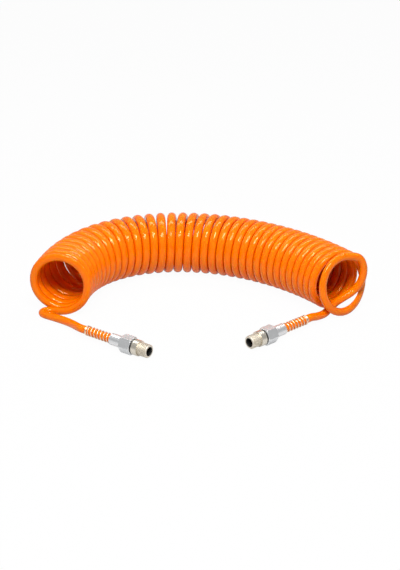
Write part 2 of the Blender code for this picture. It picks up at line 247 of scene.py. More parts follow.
# Fineness of the finished pieces
HOSE_POINTS_PER_TURN = 36
HOSE_SIDES = 24
TAIL_STEPS = 6
TOUCHING_GAP = -0.00015
CROWN_HOSE_WIDTH = 0.0092
MOUTH_HOSE_WIDTH = 0.0112
# Painted shade on the hose's flanks, in the creases between turns: where it starts across the hose, how dark it gets,
# and how near the next turn must be for it to be full or gone
FLANK_SHADE_BEGINS = 0.78
FLANK_SHADE_DEPTH = 0.95
TURNS_FULL_SHADE_WITHIN = 1.2 * HOSE_OD
TURNS_CLEAR_FROM = 1.5 * HOSE_OD
END_FADE_TURNS = 0.5
LEAD_TURNS = 0.03
ROUND_SIDES = 96
WIRE_D = 0.001
WIRE_SIDES = 10
WIRE_POINTS_PER_TURN = 40
CLOSED_WIRE_PITCH = 1.15 * WIRE_D

# Pipe thread, nineteen to the inch
THREAD_PITCH = 0.0254 / 19
THREAD_DEPTH = 0.000856
THREAD_POINTS_PER_PITCH = 12
THREAD_FLAT = 0.14

# Small edges of the finished metal
EDGE_BREAK = 0.0004
COLLAR_LIP = 0.00036
SLEEVE_LIP = 0.0005
# The bore flare's faces take the black painted shade of the bore
BORE_FLARE = 0.0006
SHARP_ANGLE = math.radians(28)

# Turns at each end of the coil that move as one with the tail beside them
FIRST_STILL_TURNS = 1.0
LAST_STILL_TURNS = 1.6

# Camera
CAMERA_ELEVATION = 24.07
CAMERA_DISTANCE = 1.30885
CAMERA_LOOKS_AT = (0.00123, -0.0158, 0.030)
CAMERA_LENS = 82.16
SENSOR_WIDTH = 36.0

# Room: its light on the hose, how white it is in reflections, and the floor
ROOM_LIGHT = 0.05
MIRRORED_WHITE = 0.4
FLOOR_WIDTH = 12.0
FLOOR_GREY = 0.62
FLOOR_SHINE = 0.97

# Hose colours: two that drift into each other, and a painted shade of deeper red on the flanks, in the creases between
# turns
ORANGE = (0.96, 0.180, 0.0)
PALER_ORANGE = (0.96, 0.205, 0.0)
FLANK_SHADE_ORANGE = (0.60, 0.026, 0.0)

# Metal colours, each with its worn shade
# Spring wire: bright metal tinted peach, a painted reflection of the orange hose inside it
WIRE_COLOURS_WITH_PAINTED_REFLECTION = ((0.95, 0.76, 0.56), (0.86, 0.66, 0.46))
SATIN_COLOURS = ((0.80, 0.81, 0.82), (0.74, 0.75, 0.76))
NICKEL_COLOURS = ((0.76, 0.71, 0.62), (0.69, 0.64, 0.55))
THREAD_COLOURS = ((0.74, 0.69, 0.60), (0.67, 0.62, 0.53))
STEEL_COLOURS = ((0.55, 0.54, 0.52), (0.48, 0.47, 0.45))
BLACK_COLOURS = ((0.006, 0.006, 0.006), (0.014, 0.013, 0.012))

# Sizes worked out from those above
HOSE_R = HOSE_OD / 2
COIL_R = COIL_OD / 2 - HOSE_R
COIL_HEIGHT = COIL_OD / 2
HALF_STEP = math.pi / SOLID_POINTS_PER_TURN
SOLID_COIL_HEIGHT = COIL_OD / 2 - FLOOR_CUT
SOLID_COIL_R = SOLID_COIL_HEIGHT / math.cos(HALF_STEP) - HOSE_R * math.cos(math.pi / SOLID_TUBE_SIDES)
SLEEVE_BACK = -SLEEVE_LENGTH
SPRING_BACK = SLEEVE_BACK - CLEARANCE - SPRING_LENGTH
WASHER_BACK = NUT_LENGTH + CLEARANCE
COLLAR_BACK = WASHER_BACK + WASHER_THICKNESS + CLEARANCE
COLLAR_FRONT = COLLAR_BACK + COLLAR_LENGTH
THREAD_TIP = COLLAR_FRONT + THREAD_LENGTH
NIPPLE_BORE_R = JOURNAL_D / 2 + CLEARANCE
UP = Vector((0, 0, 1))


# Node tree helpers


def add_node(tree, kind, **settings):
    made = tree.nodes.new(kind)
    for name, value in settings.items():
        setattr(made, name, value)
    return made


def feed(tree, socket, value):
    """Links another node's output to the socket, or sets the socket's own value."""
    if isinstance(value, bpy.types.NodeSocket):
        tree.links.new(value, socket)
    else:
        socket.default_value = value


def calc(tree, operation, *values):
    made = add_node(tree, "ShaderNodeMath", operation=operation)
    for socket, value in zip(made.inputs, values):
        feed(tree, socket, value)
    return made.outputs[0]


def join_xyz(tree, x, y, z):
    made = add_node(tree, "ShaderNodeCombineXYZ")
    for socket, value in zip(made.inputs, (x, y, z)):
        feed(tree, socket, value)
    return made.outputs[0]


# Materials


def new_material(name):
    made = bpy.data.materials.new(name)
    made.use_nodes = True
    shader = made.node_tree.nodes["Principled BSDF"]
    return made, made.node_tree, shader


def noise(tree, scale, detail):
    place = add_node(tree, "ShaderNodeTexCoord").outputs["Object"]
    made = add_node(tree, "ShaderNodeTexNoise")
    made.inputs["Scale"].default_value = scale
    made.inputs["Detail"].default_value = detail
    tree.links.new(place, made.inputs["Vector"])
    return made.outputs["Fac"]


def spread(tree, value, low, high):
    made = add_node(tree, "ShaderNodeMapRange")
    made.inputs["To Min"].default_value = low
    made.inputs["To Max"].default_value = high
    tree.links.new(value, made.inputs["Value"])
    return made.outputs["Result"]


def two_tone(tree, value, first, second):
    made = add_node(tree, "ShaderNodeMix", data_type="RGBA")
    tree.links.new(value, made.inputs["Factor"])
    for socket in made.inputs:
        for letter, colour in (("A", first), ("B", second)):
            if socket.identifier == f"{letter}_Color":
                feed(tree, socket, (*colour, 1) if isinstance(colour, tuple) else colour)
    return next(s for s in made.outputs if s.identifier == "Result_Color")


def bump(tree, shader, value, distance, strength):
    made = add_node(tree, "ShaderNodeBump")
    made.inputs["Strength"].default_value = strength
    made.inputs["Distance"].default_value = distance
    tree.links.new(value, made.inputs["Height"])
    tree.links.new(made.outputs["Normal"], shader.inputs["Normal"])


def glossy_polyurethane():
    """Slightly see-through orange hose, with a painted shade of deeper red along the flanks, in the creases between
    turns.
    """
    made, tree, shader = new_material("glossy_polyurethane")
    drift = two_tone(tree, noise(tree, 90, 3), ORANGE, PALER_ORANGE)
    # The flank attribute masks the painted crease shade on the hose's sides
    flank = add_node(tree, "ShaderNodeAttribute", attribute_name="flank").outputs["Fac"]
    feed(tree, shader.inputs["Base Color"], two_tone(tree, flank, drift, FLANK_SHADE_ORANGE))
    feed(tree, shader.inputs["Roughness"], spread(tree, noise(tree, 420, 2), 0.06, 0.10))
    shader.inputs["IOR"].default_value = 1.4
    shader.inputs["Specular Tint"].default_value = (1.0, 0.86, 0.50, 1)
    shader.inputs["Subsurface Weight"].default_value = 0.3
    shader.inputs["Subsurface Radius"].default_value = (1.0, 0.05, 0.0)
    shader.inputs["Subsurface Scale"].default_value = 0.004
    bump(tree, shader, noise(tree, 700, 1), 0.00001, 0.3)
    return made


def turned_metal(name, colours, rough_low, rough_high):
    """Plated metal with fine rings left by the lathe."""
    made, tree, shader = new_material(name)
    feed(tree, shader.inputs["Base Color"], two_tone(tree, noise(tree, 300, 3), *colours))
    feed(tree, shader.inputs["Roughness"], spread(tree, noise(tree, 900, 2), rough_low, rough_high))
    shader.inputs["Metallic"].default_value = 1.0
    along = add_node(tree, "ShaderNodeAttribute", attribute_name="axial").outputs["Fac"]
    rings = add_node(tree, "ShaderNodeTexNoise", noise_dimensions="1D")
    rings.inputs["Scale"].default_value = 9000
    rings.inputs["Detail"].default_value = 2
    tree.links.new(along, rings.inputs["W"])
    bump(tree, shader, rings.outputs["Fac"], 0.00001, 0.35)
    return made


def dull_black(name, roughness):
    made, tree, shader = new_material(name)
    feed(tree, shader.inputs["Base Color"], two_tone(tree, noise(tree, 800, 2), *BLACK_COLOURS))
    feed(tree, shader.inputs["Roughness"], spread(tree, noise(tree, 1500, 2), roughness, roughness + 0.15))
    return made


# Geometry node trees


def shape_tree(name, inputs):
    """An empty tree with a geometry input and output and the named inputs."""
    tree = bpy.data.node_groups.new(name, "GeometryNodeTree")
    tree.interface.new_socket("Geometry", in_out="INPUT", socket_type="NodeSocketGeometry")
    for label, kind in inputs:
        tree.interface.new_socket(label, in_out="INPUT", socket_type=kind)
    tree.interface.new_socket("Geometry", in_out="OUTPUT", socket_type="NodeSocketGeometry")
    return tree, add_node(tree, "NodeGroupInput").outputs, add_node(tree, "NodeGroupOutput").inputs


def end_tree(tree, geometry, surface, output):
    smooth = add_node(tree, "GeometryNodeSetShadeSmooth")
    realized = add_node(tree, "GeometryNodeRealizeInstances")
    coated = add_node(tree, "GeometryNodeSetMaterial")
    tree.links.new(geometry, smooth.inputs["Geometry"])
    tree.links.new(smooth.outputs["Geometry"], realized.inputs["Geometry"])
    tree.links.new(realized.outputs["Geometry"], coated.inputs["Geometry"])
    tree.links.new(surface, coated.inputs["Material"])
    tree.links.new(coated.outputs["Geometry"], output["Geometry"])


def round_section(tree, curve, radius, sides):
    """Sweeps a circle along the curve and closes both ends."""
    circle = add_node(tree, "GeometryNodeCurvePrimitiveCircle")
    feed(tree, circle.inputs["Resolution"], sides)
    feed(tree, circle.inputs["Radius"], radius)
    swept = add_node(tree, "GeometryNodeCurveToMesh")
    tree.links.new(curve, swept.inputs["Curve"])
    tree.links.new(circle.outputs["Curve"], swept.inputs["Profile Curve"])
    swept.inputs["Fill Caps"].default_value = True
    return swept.outputs["Mesh"]


def hose_tree():
    """A round hose along the edges of the given path."""
    tree, given, output = shape_tree("Hose Along Path", (
        ("Hose Radius", "NodeSocketFloat"),
        ("Sides", "NodeSocketInt"),
        ("Surface", "NodeSocketMaterial"),
    ))
    path = add_node(tree, "GeometryNodeMeshToCurve")
    tree.links.new(given["Geometry"], path.inputs["Mesh"])
    tube = round_section(tree, path.outputs["Curve"], given["Hose Radius"], given["Sides"])
    end_tree(tree, tube, given["Surface"], output)
    return tree


def spring_tree():
    """A wire spring along +X: close turns at its start, open turns after them."""
    tree, given, output = shape_tree("Spring Guard", (
        ("Winding Radius", "NodeSocketFloat"),
        ("Wire Radius", "NodeSocketFloat"),
        ("Closed Turns", "NodeSocketFloat"),
        ("Open Turns", "NodeSocketFloat"),
        ("Closed Pitch", "NodeSocketFloat"),
        ("Open Pitch", "NodeSocketFloat"),
        ("Points per Turn", "NodeSocketInt"),
        ("Sides", "NodeSocketInt"),
        ("Surface", "NodeSocketMaterial"),
    ))
    turns = calc(tree, "ADD", given["Closed Turns"], given["Open Turns"])
    count = calc(tree, "MULTIPLY", turns, given["Points per Turn"])
    line = add_node(tree, "GeometryNodeCurvePrimitiveLine")
    finer = add_node(tree, "GeometryNodeResampleCurve")
    tree.links.new(line.outputs["Curve"], finer.inputs["Curve"])
    tree.links.new(count, finer.inputs["Count"])
    share = add_node(tree, "GeometryNodeSplineParameter").outputs["Factor"]
    turn = calc(tree, "MULTIPLY", share, turns)
    closed = calc(tree, "MULTIPLY", calc(tree, "MINIMUM", turn, given["Closed Turns"]), given["Closed Pitch"])
    past = calc(tree, "MAXIMUM", calc(tree, "SUBTRACT", turn, given["Closed Turns"]), 0.0)
    along = calc(tree, "ADD", closed, calc(tree, "MULTIPLY", past, given["Open Pitch"]))
    angle = calc(tree, "MULTIPLY", turn, 2 * math.pi)
    y = calc(tree, "MULTIPLY", calc(tree, "COSINE", angle), given["Winding Radius"])
    z = calc(tree, "MULTIPLY", calc(tree, "SINE", angle), given["Winding Radius"])
    placed = add_node(tree, "GeometryNodeSetPosition")
    tree.links.new(finer.outputs["Curve"], placed.inputs["Geometry"])
    tree.links.new(join_xyz(tree, along, y, z), placed.inputs["Position"])
    wire = round_section(tree, placed.outputs["Geometry"], given["Wire Radius"], given["Sides"])
    end_tree(tree, wire, given["Surface"], output)
    return tree


def thread_tree():
    """The flank of a screw thread along +X, run out at its start and bevelled at its tip."""
    tree, given, output = shape_tree("Pipe Thread", (
        ("Length", "NodeSocketFloat"),
        ("Pitch", "NodeSocketFloat"),
        ("Crest Radius", "NodeSocketFloat"),
        ("Depth", "NodeSocketFloat"),
        ("Tip Radius", "NodeSocketFloat"),
        ("Along", "NodeSocketInt"),
        ("Around", "NodeSocketInt"),
        ("Surface", "NodeSocketMaterial"),
    ))
    grid = add_node(tree, "GeometryNodeMeshGrid")
    feed(tree, grid.inputs["Vertices X"], given["Along"])
    feed(tree, grid.inputs["Vertices Y"], calc(tree, "ADD", given["Around"], 1.0))
    split = add_node(tree, "ShaderNodeSeparateXYZ")
    tree.links.new(add_node(tree, "GeometryNodeInputPosition").outputs[0], split.inputs[0])
    share = calc(tree, "ADD", split.outputs["X"], 0.5)
    around = calc(tree, "ADD", split.outputs["Y"], 0.5)
    along = calc(tree, "MULTIPLY", share, given["Length"])
    lead = calc(tree, "SUBTRACT", calc(tree, "DIVIDE", along, given["Pitch"]), around)
    phase = calc(tree, "FRACT", lead)
    flank = calc(tree, "ABSOLUTE", calc(tree, "MULTIPLY_ADD", phase, 2.0, -1.0))
    cut = add_node(tree, "ShaderNodeMapRange")
    cut.inputs["From Min"].default_value = THREAD_FLAT
    cut.inputs["From Max"].default_value = 1 - THREAD_FLAT
    tree.links.new(flank, cut.inputs["Value"])
    depth = calc(tree, "MULTIPLY", cut.outputs[0], given["Depth"])
    thread = calc(tree, "SUBTRACT", given["Crest Radius"], depth)
    root = calc(tree, "SUBTRACT", given["Crest Radius"], given["Depth"])
    start = calc(tree, "ADD", root, along)
    left_over = calc(tree, "SUBTRACT", given["Length"], along)
    tip = calc(tree, "ADD", given["Tip Radius"], left_over)
    radius = calc(tree, "MINIMUM", thread, calc(tree, "MINIMUM", start, tip))
    angle = calc(tree, "MULTIPLY", around, 2 * math.pi)
    y = calc(tree, "MULTIPLY", calc(tree, "COSINE", angle), radius)
    z = calc(tree, "MULTIPLY", calc(tree, "SINE", angle), radius)
    placed = add_node(tree, "GeometryNodeSetPosition")
    tree.links.new(grid.outputs["Mesh"], placed.inputs["Geometry"])
    tree.links.new(join_xyz(tree, along, y, z), placed.inputs["Position"])
    end_tree(tree, placed.outputs["Geometry"], given["Surface"], output)
    return tree


def made_by(tree, values, mesh=None):
    """The plain mesh that a tree makes with the given inputs."""
    carrier = bpy.data.objects.new("carrier", mesh or bpy.data.meshes.new("carrier"))
    bpy.context.scene.collection.objects.link(carrier)
    modifier = carrier.modifiers.new("shape", "NODES")
    modifier.node_group = tree
    for item in tree.interface.items_tree:
        if item.item_type == "SOCKET" and item.in_out == "INPUT" and item.name in values:
            modifier[item.identifier] = values[item.name]
    graph = bpy.context.evaluated_depsgraph_get()
    made = bpy.data.meshes.new_from_object(carrier.evaluated_get(graph), depsgraph=graph)
    bpy.data.objects.remove(carrier, do_unlink=True)
    return made


# Mesh helpers


def add_piece(name, mesh, slot):
    made = bpy.data.objects.new(name, mesh)
    mesh.name = name
    bpy.context.scene.collection.objects.link(made)
    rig.slot(made, slot)
    return made


def flat_caps(mesh):
    """Shades the end faces flat, so that the round sides keep their shading up to the edge."""
    for face in mesh.polygons:
        if len(face.vertices) > 4:
            face.use_smooth = False


def turned_mesh(stations, closed=True):
    """A mesh turned about local X. A station is (x, radius) or (x, radius, across flats)."""
    bm = bmesh.new()
    rings = []
    for station in stations:
        x, radius = station[:2]
        ring = []
        for i in range(ROUND_SIDES):
            angle = 2 * math.pi * i / ROUND_SIDES
            reach = radius
            if len(station) == 3:
                from_corner = math.pi / 6 - abs((angle + math.pi / 6) % (math.pi / 3) - math.pi / 6)
                reach = min(radius, station[2] / 2 / math.cos(from_corner))
            ring.append(bm.verts.new((x, reach * math.cos(angle), reach * math.sin(angle))))
        rings.append(ring)
    pairs = list(zip(rings, rings[1:]))
    if closed:
        pairs.append((rings[-1], rings[0]))
    for first, second in pairs:
        for i in range(ROUND_SIDES):
            j = (i + 1) % ROUND_SIDES
            bm.faces.new((first[i], first[j], second[j], second[i]))
    made = bpy.data.meshes.new("turned")
    bm.to_mesh(made)
    bm.free()
    return made


def finish_metal(mesh, place, surfaces, choose=None):
    """Closes seams, shades by angle, records the place along the axis and sets the mesh down."""
    bm = bmesh.new()
    bm.from_mesh(mesh)
    bmesh.ops.remove_doubles(bm, verts=bm.verts, dist=1e-6)
    bmesh.ops.recalc_face_normals(bm, faces=bm.faces)
    bm.to_mesh(mesh)
    bm.free()
    mesh.materials.clear()
    for surface in surfaces:
        mesh.materials.append(surface)
    for face in mesh.polygons:
        face.use_smooth = True
        face.material_index = choose(face) if choose else 0
    mesh.set_sharp_from_angle(angle=SHARP_ANGLE)
    axial = mesh.attributes.new("axial", "FLOAT", "POINT")
    axial.data.foreach_set("value", [v.co.x for v in mesh.vertices])
    mesh.transform(place)
    return mesh


def broken_edges(piece):
    """Takes the sharpness off a piece's edges with a small bevel."""
    made = piece.modifiers.new("edge_break", "BEVEL")
    made.width = EDGE_BREAK
    made.segments = 2
    made.limit_method = "ANGLE"
    made.angle_limit = SHARP_ANGLE
    made.harden_normals = True


# The hose


def coil_axis(length):
    """Plan points, headings and distances along the coil's own axis."""
    u = np.linspace(-1, 1, 4001)
    heading = np.radians(sum(power * u ** i for i, power in enumerate(HEADING)))
    step = length / (len(u) - 1)
    along_x = np.cos(heading)
    along_y = -np.sin(heading)
    x = np.concatenate(([0], np.cumsum((along_x[1:] + along_x[:-1]) / 2 * step)))
    y = np.concatenate(([0], np.cumsum((along_y[1:] + along_y[:-1]) / 2 * step)))
    return x, y, heading, (u + 1) / 2 * length


def swing(turn, last):
    """How far the winding stands out along its axis near the right end."""
    from_foot = (turn - last + LAST_TURN_FOOT) / LAST_TURN_SPREAD
    if abs(from_foot) > 1:
        return 0.0
    return LAST_TURN_SWING * (1 + math.cos(math.pi * from_foot)) / 2


class Winding:
    """The coil's path by turn: left end at the first turn, right end at the last."""

    def __init__(self):
        half_turn = SOLID_POINTS_PER_TURN // 2 + 1
        self.solid_last = TURNS - 1 + half_turn / SOLID_POINTS_PER_TURN
        self.begin = -math.pi / 2 + HALF_STEP
        quarter = HALF_STEP / (2 * math.pi)
        self.first = quarter
        self.last = self.solid_last - quarter
        self.fine = np.linspace(0, self.solid_last, 20001)
        advance = self.advance(self.fine)
        step = self.fine[1] - self.fine[0]
        self.travel = np.concatenate(([0], np.cumsum((advance[1:] + advance[:-1]) / 2 * step)))
        sweep = math.radians(2 * sum(HEADING[1::2]))
        self.x, self.y, self.heading, self.along = coil_axis(self.travel[-1] + SOLID_COIL_R * sweep)
        self.inner = self.along - SOLID_COIL_R * (self.heading - self.heading[0])
        self.shift = Vector((0, 0, 0))

    def crown(self, turn):
        """One at the middle of the arch, falling to zero at both mouths."""
        return np.cos(math.pi * (turn / self.solid_last - 0.5)) ** 2

    def advance(self, turn):
        """How far the coil's inner side moves on for each turn of winding."""
        return HOSE_OD + TURN_GAP + MIDDLE_OPENING * self.crown(turn)

    @staticmethod
    def close_by(distance):
        """One where the next turn lies close against this one, falling to zero where it stands half a hose clear. It
        weighs the painted crease shade on the hose's flanks.
        """
        return min(1, max(0, (TURNS_CLEAR_FROM - distance) / (TURNS_CLEAR_FROM - TURNS_FULL_SHADE_WITHIN)))

    def at(self, turn, radius=COIL_R, height=COIL_HEIGHT):
        """Point on the hose's middle line, with the winding's middle, outward and axial ways."""
        distance = np.interp(np.interp(turn, self.fine, self.travel), self.inner, self.along)
        heading = np.interp(distance, self.along, self.heading)
        outer = Vector((math.sin(heading), math.cos(heading), 0))
        axial = Vector((math.cos(heading), -math.sin(heading), 0))
        x = np.interp(distance, self.along, self.x)
        y = np.interp(distance, self.along, self.y)
        middle = Vector((x, y, height))
        middle += axial * swing(turn, self.solid_last) + self.shift
        angle = self.begin - 2 * math.pi * turn
        return middle + radius * (math.cos(angle) * outer + math.sin(angle) * UP), middle, outer, axial


def smooth_route(points, steps):
    """Points on a smooth curve through the given points, the given number for each stretch."""
    ends = [2 * points[0] - points[1], *points, 2 * points[-1] - points[-2]]
    made = []
    for before, first, second, after in zip(ends, ends[1:], ends[2:], ends[3:]):
        for i in range(steps):
            t = i / steps
            made.append(0.5 * (2 * first + (second - before) * t
                               + (2 * before - 5 * first + 4 * second - after) * t * t
                               + (3 * first - before - 3 * second + after) * t * t * t))
    made.append(points[-1].copy())
    return made


def length_of(points):
    return sum((b - a).length for a, b in zip(points, points[1:]))


def coil_points(winding):
    count = round((winding.last - winding.first) * HOSE_POINTS_PER_TURN)
    turns = np.linspace(winding.first, winding.last, count + 1)
    return turns, [winding.at(turn)[0] for turn in turns]


def fitting_run(place):
    """Straight stretch of hose through the spring guard and sleeve to the stem's shoulder."""
    stations = (SPRING_BACK - HOSE_OD, SPRING_BACK, SPRING_BACK / 2, 0, HOSE_GRIP)
    return [place @ Vector((x, 0, 0)) for x in stations]


def left_tail_points(winding, place):
    """Along the floor from the foot of the first turn, round in a tight bend, to the fitting."""
    solid_end = winding.at(0, SOLID_COIL_R, SOLID_COIL_HEIGHT)[0]
    begin = winding.at(winding.first)[0]
    route = [Vector((solid_end.x + x, solid_end.y + y, HOSE_R + rise)) for x, y, rise in LEFT_ROUTE]
    floor_end = Vector((solid_end.x, solid_end.y, HOSE_R))
    lead = winding.at(winding.first + LEAD_TURNS)[0]
    points = smooth_route([lead, begin, floor_end, *route, *fitting_run(place)], TAIL_STEPS)
    return points[TAIL_STEPS:]


def right_tail_points(winding, place):
    """Over the top of the last turn, down its far side and in through the mouth, to the fitting."""
    solid_end, middle, outer, axial = winding.at(winding.solid_last, SOLID_COIL_R, SOLID_COIL_HEIGHT)
    middle.z = COIL_HEIGHT
    begin = winding.at(winding.last)[0]
    tuck = []
    for across, height, along in RIGHT_TUCK:
        tuck.append(middle + COIL_R * (across * outer + height * UP) + axial * along * HOSE_OD)
    route = [Vector((solid_end.x + x, solid_end.y + y, HOSE_R + rise)) for x, y, rise in RIGHT_ROUTE]
    lead = winding.at(winding.last - LEAD_TURNS)[0]
    points = smooth_route([lead, begin, *tuck, *route, *fitting_run(place)], TAIL_STEPS)
    return points[TAIL_STEPS:]


def hose_piece(name, tree, points, surface):
    path = bpy.data.meshes.new("path")
    path.from_pydata(points, [(i, i + 1) for i in range(len(points) - 1)], [])
    values = {"Hose Radius": HOSE_R, "Sides": HOSE_SIDES, "Surface": surface}
    mesh = made_by(tree, values, path)
    flat_caps(mesh)
    return add_piece(name, mesh, "orange_hose")


def press_together(piece, winding, turns):
    """Widens the wound hose along the coil, as winding flattens it, as far as the turns leave room, and marks the
    painted crease shade on its flanks.
    """
    mesh = piece.data
    places = np.empty(len(mesh.vertices) * 3, np.float32)
    mesh.vertices.foreach_get("co", places)
    rings = places.reshape(-1, HOSE_SIDES, 3)
    flank_shade = []
    for ring, turn in zip(rings, turns):
        middle, _, _, axial = winding.at(turn)
        before, after = ((winding.at(turn + step)[0] - middle).length for step in (-1, 1))
        room = min(before, after)
        widest = MOUTH_HOSE_WIDTH + (CROWN_HOSE_WIDTH - MOUTH_HOSE_WIDTH) * winding.crown(turn)
        wider = min(room - TOUCHING_GAP, widest) / HOSE_OD - 1
        from_end = min(turn - winding.first, winding.last - turn)
        wider *= min(1, from_end / END_FADE_TURNS)
        along = np.array(axial, np.float32)
        across = (ring - np.array(middle, np.float32)) @ along
        ring += np.outer(across, along) * wider
        # Painted shade: each flank is darkened as far as a turn lies close beside it, standing in for the shade in the
        # crease
        beside_before = winding.close_by(before) if turn - 1 > winding.first else 0
        beside_after = winding.close_by(after) if turn + 1 < winding.last else 0
        reach = np.clip((np.abs(across) / HOSE_R - FLANK_SHADE_BEGINS) / (1 - FLANK_SHADE_BEGINS), 0, 1)
        flank_shade.append(reach * np.where(across < 0, beside_before, beside_after))
    mesh.vertices.foreach_set("co", places)
    flank = mesh.attributes.new("flank", "FLOAT", "POINT")
    flank.data.foreach_set("value", np.concatenate(flank_shade).astype(np.float32) * FLANK_SHADE_DEPTH)


def stretch_with_length(piece, winding, turns):
    """Lets the coil follow its right end by turns of hose, so that its turns open evenly."""
    start = winding.at(winding.first)[0]
    end = winding.at(winding.last)[0]
    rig.blend(piece, "coil", "right_end", start=start, end=end)
    moving = winding.last - winding.first - FIRST_STILL_TURNS - LAST_STILL_TURNS
    share = np.clip((turns - winding.first - FIRST_STILL_TURNS) / moving, 0, 1)
    weights = np.repeat(share, HOSE_SIDES)
    piece.data.attributes["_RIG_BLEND"].data.foreach_set("value", weights.astype(np.float32))


# The fittings


def fitting_places():
    """Each fitting's own axes: +X outward along it, from the back of its hexagon."""
    places = {}
    for joint in frame["record"]["behaviour"]["joints"]:
        if joint["type"] == "hinge":
            axis = Vector(joint["axis"]).normalized()
            turn = Matrix((axis, UP.cross(axis), UP)).transposed().to_4x4()
            place = Vector(joint["pos_m"]) - axis * COLLAR_BACK
            places[joint["name"].split("_")[0]] = Matrix.Translation(place) @ turn
    return places


def spring_guard(side, tree, place, surface):
    opened = SPRING_LENGTH - WIRE_D - CLOSED_WIRE_PITCH * SPRING_CLOSED_TURNS
    mesh = made_by(tree, {
        "Winding Radius": HOSE_R + WIRE_D / 2,
        "Wire Radius": WIRE_D / 2,
        "Closed Turns": float(SPRING_CLOSED_TURNS),
        "Open Turns": float(SPRING_OPEN_TURNS),
        "Closed Pitch": CLOSED_WIRE_PITCH,
        "Open Pitch": opened / SPRING_OPEN_TURNS,
        "Points per Turn": WIRE_POINTS_PER_TURN,
        "Sides": WIRE_SIDES,
        "Surface": surface,
    })
    flat_caps(mesh)
    mesh.transform(place @ Matrix.Translation((SPRING_BACK + WIRE_D / 2, 0, 0)))
    return add_piece(f"spring_wire_{side}", mesh, "spring_wire")


def clamp_nut(side, place, surface):
    corner = NUT_ACROSS_FLATS / math.sqrt(3)
    hose_way = HOSE_R + CLEARANCE
    sleeve = SLEEVE_OD / 2
    chamfer = []
    for share in (0, 1 / 3, 2 / 3, 1):
        chamfer.append((share * NUT_CHAMFER, corner - 2 * NUT_CHAMFER * (1 - share)))
    back = [(x, r, NUT_ACROSS_FLATS) for x, r in chamfer]
    front = [(NUT_LENGTH - x, r, NUT_ACROSS_FLATS) for x, r in reversed(chamfer)]
    mesh = turned_mesh((
        (SLEEVE_BACK, hose_way),
        (SLEEVE_BACK, sleeve - SLEEVE_LIP),
        (SLEEVE_BACK + SLEEVE_LIP, sleeve),
        (0, sleeve),
        *back,
        *front,
        (NUT_LENGTH, JOURNAL_D / 2 + CLEARANCE),
        (HOSE_GRIP, JOURNAL_D / 2 + CLEARANCE),
        (HOSE_GRIP, hose_way),
    ))
    finish_metal(mesh, place, [surface])
    made = add_piece(f"hex_nut_{side}", mesh, "satin_nut")
    broken_edges(made)
    return made


def washer(side, place, surface):
    front = WASHER_BACK + WASHER_THICKNESS
    mesh = turned_mesh((
        (WASHER_BACK, NIPPLE_BORE_R),
        (WASHER_BACK, WASHER_OD / 2),
        (front, WASHER_OD / 2),
        (front, NIPPLE_BORE_R),
    ))
    finish_metal(mesh, place, [surface])
    return add_piece(f"swivel_washer_{side}", mesh, "black_plastic")


def swivel_nipple(side, tree, place, surface, dark, cut):
    """Collar, thread relief, thread, bevelled tip and bore, closed into one mesh, with black painted shade in the
    bore.
    """
    collar = COLLAR_OD / 2
    lip = COLLAR_LIP
    crest = THREAD_D / 2
    thread_back = COLLAR_FRONT + THREAD_RELIEF
    thread_length = THREAD_TIP - thread_back
    body = turned_mesh((
        (THREAD_TIP, crest - TIP_CHAMFER),
        (THREAD_TIP, NIPPLE_BORE_R + BORE_FLARE),
        (THREAD_TIP - BORE_FLARE, NIPPLE_BORE_R),
        (COLLAR_BACK, NIPPLE_BORE_R),
        (COLLAR_BACK, collar - lip),
        (COLLAR_BACK + lip, collar),
        (COLLAR_FRONT - lip, collar),
        (COLLAR_FRONT, collar - lip),
        (COLLAR_FRONT, crest - THREAD_DEPTH),
        (thread_back, crest - THREAD_DEPTH),
    ), closed=False)
    thread = made_by(tree, {
        "Length": thread_length,
        "Pitch": THREAD_PITCH,
        "Crest Radius": crest,
        "Depth": THREAD_DEPTH,
        "Tip Radius": crest - TIP_CHAMFER,
        "Along": round(thread_length / THREAD_PITCH * THREAD_POINTS_PER_PITCH),
        "Around": ROUND_SIDES,
        "Surface": surface,
    })
    thread.transform(Matrix.Translation((thread_back, 0, 0)))
    bm = bmesh.new()
    bm.from_mesh(body)
    bm.from_mesh(thread)
    mesh = bpy.data.meshes.new("nipple")
    bm.to_mesh(mesh)
    bm.free()

    def choose(face):
        # Bore and flare faces take the black painted shade of the deep hole
        if math.hypot(face.center.y, face.center.z) < NIPPLE_BORE_R + BORE_FLARE * 0.9:
            return 1
        return 2 if face.center.x > COLLAR_FRONT + 1e-6 else 0

    finish_metal(mesh, place, [surface, dark, cut], choose)
    return add_piece(f"threaded_nipple_{side}", mesh, "nickel")


# Light, floor and camera


def seen_directly(tree):
    """One for the camera's own rays and what shows through, less for what shines, otherwise zero."""
    rays = add_node(tree, "ShaderNodeLightPath").outputs
    shining = calc(tree, "MULTIPLY", rays["Is Glossy Ray"], MIRRORED_WHITE)
    either = calc(tree, "MAXIMUM", rays["Is Camera Ray"], shining)
    return calc(tree, "MAXIMUM", either, rays["Is Transmission Ray"])


def white_room(strength):
    world = bpy.data.worlds.new("white_room")
    bpy.context.scene.world = world
    world.use_nodes = True
    tree = world.node_tree
    background = tree.nodes["Background"]
    background.inputs["Color"].default_value = (1, 1, 1, 1)
    direct = seen_directly(tree)
    feed(tree, background.inputs["Strength"], spread(tree, direct, strength, 1.0))


